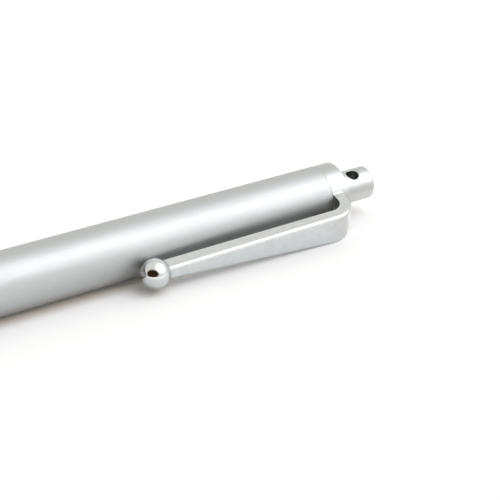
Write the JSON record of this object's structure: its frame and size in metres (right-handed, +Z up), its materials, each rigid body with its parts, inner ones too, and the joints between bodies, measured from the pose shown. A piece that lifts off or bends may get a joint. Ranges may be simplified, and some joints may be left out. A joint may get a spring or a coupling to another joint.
{
  "type": "stylus pen",
  "caption": "Passive touch-screen stylus: aluminium barrel, domed rubber nib in a turned nose, sprung pocket clip with a ball end, tail knob with a lanyard hole.",
  "frame": {"origin": "on the surface that the pen lies on, under the middle of its bounding box", "axes": "+X along the pen towards the tail knob, +Z up, the clip out to -Y and down"},
  "size_m": [0.115, 0.0138, 0.009],
  "materials": {
    "nib_rubber": "matt silicone rubber",
    "plug_plastic": "moulded",
    "nose_aluminium": "turned, satin anodised",
    "bush_brass": "turned",
    "barrel_aluminium": "satin anodised",
    "clip_chrome": "polished chrome plate",
    "knob_chrome": "turned and chrome plated"
  },
  "bodies": {
    "pen": {"nib": "nib_rubber", "nib_plug": "plug_plastic", "nose": "nose_aluminium", "front_bush": "bush_brass", "barrel": "barrel_aluminium", "rear_bush": "bush_brass", "clip_collar": "clip_chrome", "tail_knob": "knob_chrome"},
    "clip": {"clip_arm": "clip_chrome"}
  },
  "joints": [
    {"name": "clip_flex", "type": "hinge", "parent": "pen", "child": "clip", "pos_m": [0.04931, -0.00264, 0.00323], "axis": [0, -0.2468, 0.9691], "range_deg": [0, 4], "stiffness_Nm_per_rad": 4, "springref_deg": -1.15}
  ]
}
